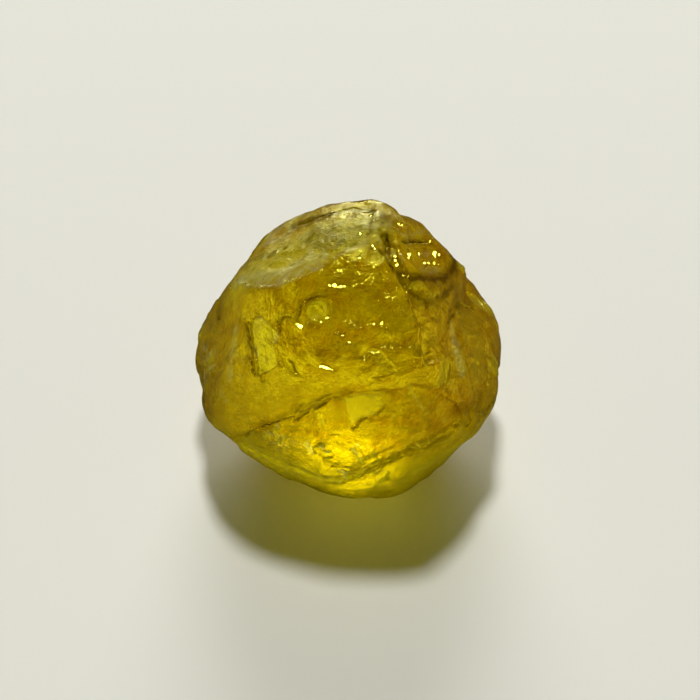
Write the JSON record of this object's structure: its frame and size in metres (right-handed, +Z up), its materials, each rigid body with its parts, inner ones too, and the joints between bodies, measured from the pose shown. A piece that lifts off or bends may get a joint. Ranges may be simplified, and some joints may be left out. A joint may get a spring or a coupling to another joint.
{
  "type": "rough diamond",
  "caption": "Uncut see-through yellow crystal with rounded, stepped faces, etch pits and a fractured lower front, lying on a small flat face.",
  "frame": {"origin": "middle of the stone's footprint, on the surface that it lies on", "axes": "+Z up from the resting face, -Y out of the side with the wide dome above the fractured lower front, +X towards the right lobe"},
  "size_m": [0.006, 0.0052, 0.0055],
  "materials": {
    "yellow_crystal": "clear deep-yellow crystal, glossy on the rounded faces, frosted where it is etched or broken"
  },
  "bodies": {
    "root": {"rough_diamond": "yellow_crystal"}
  },
  "joints": []
}
